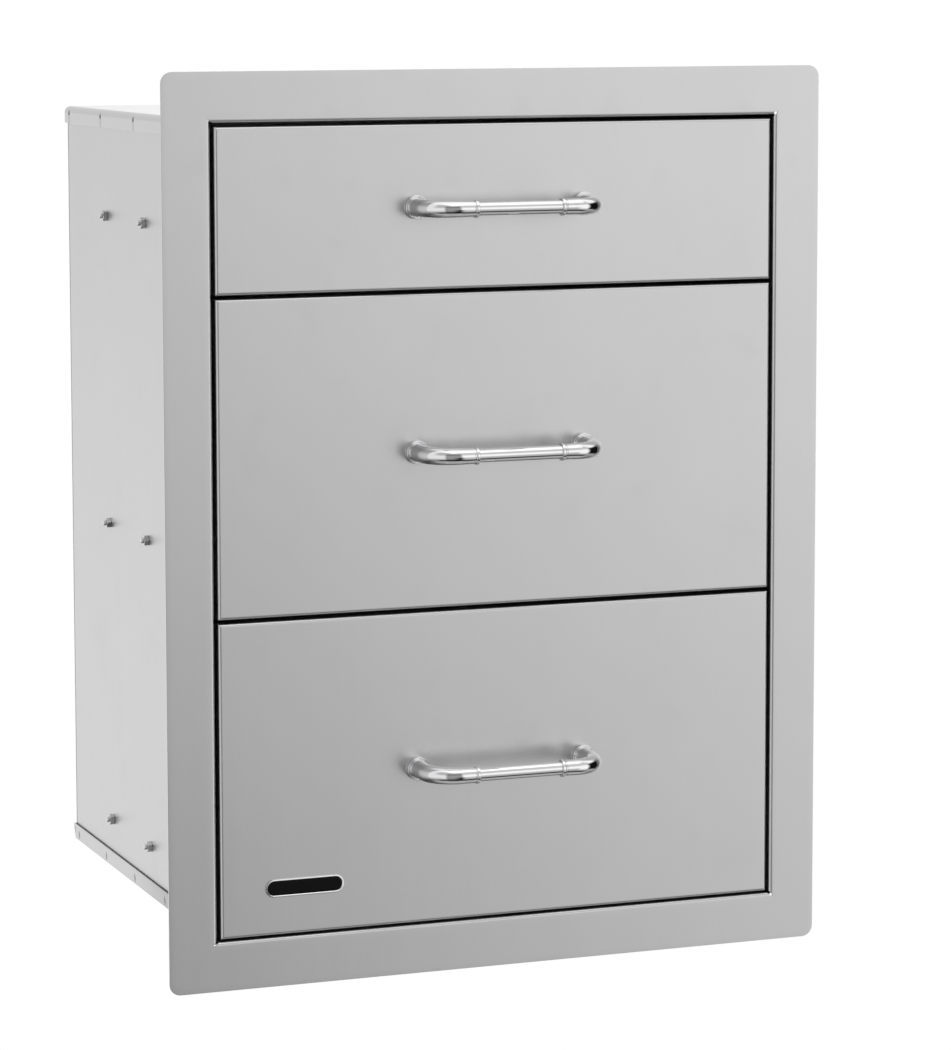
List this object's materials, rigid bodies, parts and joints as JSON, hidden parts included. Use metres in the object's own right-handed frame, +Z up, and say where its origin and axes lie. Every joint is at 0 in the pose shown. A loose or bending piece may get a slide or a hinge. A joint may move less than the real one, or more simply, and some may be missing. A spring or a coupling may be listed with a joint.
{
  "type": "outdoor kitchen drawer unit",
  "caption": "Built-in stainless drawer stack for an outdoor kitchen island: flanged face frame, sheet-metal cabinet and full-extension drawers with bar handles.",
  "frame": {"origin": "centre of the frame's opening, in the plane of the flange's back face", "axes": "+X to the right, +Z up, the drawers open towards -Y and the cabinet lies towards +Y"},
  "size_m": [0.57, 0.4775, 0.739],
  "materials": {
    "frame_steel": "fine brushed stainless",
    "cabinet_steel": "dull mill-finish stainless",
    "tray_steel": "satin stainless",
    "slide_steel": "bright zinc plate",
    "cage_steel": "bright rolled steel",
    "fastener_steel": "zinc plate",
    "handle_chrome": "polished chrome plate",
    "bumper_rubber": "soft black rubber",
    "badge_black": "gloss black field in a polished rim"
  },
  "bodies": {
    "cabinet": {"face_frame": "frame_steel", "cabinet_side_left": "cabinet_steel", "cabinet_side_right": "cabinet_steel", "cabinet_top": "cabinet_steel", "cabinet_floor": "cabinet_steel", "cabinet_back": "cabinet_steel", "slide_bolts": "fastener_steel", "slide_nuts": "fastener_steel", "slide_bumpers": "bumper_rubber", "top_slide_outer_left": "slide_steel", "top_slide_outer_right": "slide_steel", "middle_slide_outer_left": "slide_steel", "middle_slide_outer_right": "slide_steel", "bottom_slide_outer_left": "slide_steel", "bottom_slide_outer_right": "slide_steel"},
    "top_drawer": {"top_front_panel": "frame_steel", "top_front_liner": "tray_steel", "top_tray": "tray_steel", "top_tray_screws": "fastener_steel", "top_handle_elbows": "handle_chrome", "top_handle_bar": "handle_chrome", "top_handle_screws": "fastener_steel", "top_slide_inner_left": "slide_steel", "top_slide_inner_right": "slide_steel"},
    "top_middle_members": {"top_slide_middle_left": "slide_steel", "top_slide_middle_right": "slide_steel"},
    "top_outer_cages": {"top_ball_cages_outer": "cage_steel"},
    "top_inner_cages": {"top_ball_cages_inner": "cage_steel"},
    "middle_drawer": {"middle_front_panel": "frame_steel", "middle_front_liner": "tray_steel", "middle_tray": "tray_steel", "middle_tray_screws": "fastener_steel", "middle_handle_elbows": "handle_chrome", "middle_handle_bar": "handle_chrome", "middle_handle_screws": "fastener_steel", "middle_slide_inner_left": "slide_steel", "middle_slide_inner_right": "slide_steel"},
    "middle_middle_members": {"middle_slide_middle_left": "slide_steel", "middle_slide_middle_right": "slide_steel"},
    "middle_outer_cages": {"middle_ball_cages_outer": "cage_steel"},
    "middle_inner_cages": {"middle_ball_cages_inner": "cage_steel"},
    "bottom_drawer": {"bottom_front_panel": "frame_steel", "bottom_front_liner": "tray_steel", "bottom_tray": "tray_steel", "bottom_tray_screws": "fastener_steel", "bottom_handle_elbows": "handle_chrome", "bottom_handle_bar": "handle_chrome", "bottom_handle_screws": "fastener_steel", "bottom_slide_inner_left": "slide_steel", "bottom_slide_inner_right": "slide_steel", "badge_plate": "badge_black"},
    "bottom_middle_members": {"bottom_slide_middle_left": "slide_steel", "bottom_slide_middle_right": "slide_steel"},
    "bottom_outer_cages": {"bottom_ball_cages_outer": "cage_steel"},
    "bottom_inner_cages": {"bottom_ball_cages_inner": "cage_steel"}
  },
  "joints": [
    {"name": "top_drawer_slide", "type": "slide", "parent": "cabinet", "child": "top_drawer", "axis": [0, -1, 0], "range_m": [0, 0.35]},
    {"name": "top_middle_members_slide", "type": "slide", "parent": "cabinet", "child": "top_middle_members", "axis": [0, -1, 0], "range_m": [0, 0.175]},
    {"name": "top_outer_cages_slide", "type": "slide", "parent": "cabinet", "child": "top_outer_cages", "axis": [0, -1, 0], "range_m": [0, 0.0875]},
    {"name": "top_inner_cages_slide", "type": "slide", "parent": "cabinet", "child": "top_inner_cages", "axis": [0, -1, 0], "range_m": [0, 0.2625]},
    {"name": "middle_drawer_slide", "type": "slide", "parent": "cabinet", "child": "middle_drawer", "axis": [0, -1, 0], "range_m": [0, 0.35]},
    {"name": "middle_middle_members_slide", "type": "slide", "parent": "cabinet", "child": "middle_middle_members", "axis": [0, -1, 0], "range_m": [0, 0.175]},
    {"name": "middle_outer_cages_slide", "type": "slide", "parent": "cabinet", "child": "middle_outer_cages", "axis": [0, -1, 0], "range_m": [0, 0.0875]},
    {"name": "middle_inner_cages_slide", "type": "slide", "parent": "cabinet", "child": "middle_inner_cages", "axis": [0, -1, 0], "range_m": [0, 0.2625]},
    {"name": "bottom_drawer_slide", "type": "slide", "parent": "cabinet", "child": "bottom_drawer", "axis": [0, -1, 0], "range_m": [0, 0.35]},
    {"name": "bottom_middle_members_slide", "type": "slide", "parent": "cabinet", "child": "bottom_middle_members", "axis": [0, -1, 0], "range_m": [0, 0.175]},
    {"name": "bottom_outer_cages_slide", "type": "slide", "parent": "cabinet", "child": "bottom_outer_cages", "axis": [0, -1, 0], "range_m": [0, 0.0875]},
    {"name": "bottom_inner_cages_slide", "type": "slide", "parent": "cabinet", "child": "bottom_inner_cages", "axis": [0, -1, 0], "range_m": [0, 0.2625]}
  ],
  "couplings": [
    {"joint": "top_middle_members_slide", "follows": "top_drawer_slide", "ratio": 0.5},
    {"joint": "top_outer_cages_slide", "follows": "top_drawer_slide", "ratio": 0.25},
    {"joint": "top_inner_cages_slide", "follows": "top_drawer_slide", "ratio": 0.75},
    {"joint": "middle_middle_members_slide", "follows": "middle_drawer_slide", "ratio": 0.5},
    {"joint": "middle_outer_cages_slide", "follows": "middle_drawer_slide", "ratio": 0.25},
    {"joint": "middle_inner_cages_slide", "follows": "middle_drawer_slide", "ratio": 0.75},
    {"joint": "bottom_middle_members_slide", "follows": "bottom_drawer_slide", "ratio": 0.5},
    {"joint": "bottom_outer_cages_slide", "follows": "bottom_drawer_slide", "ratio": 0.25},
    {"joint": "bottom_inner_cages_slide", "follows": "bottom_drawer_slide", "ratio": 0.75}
  ]
}
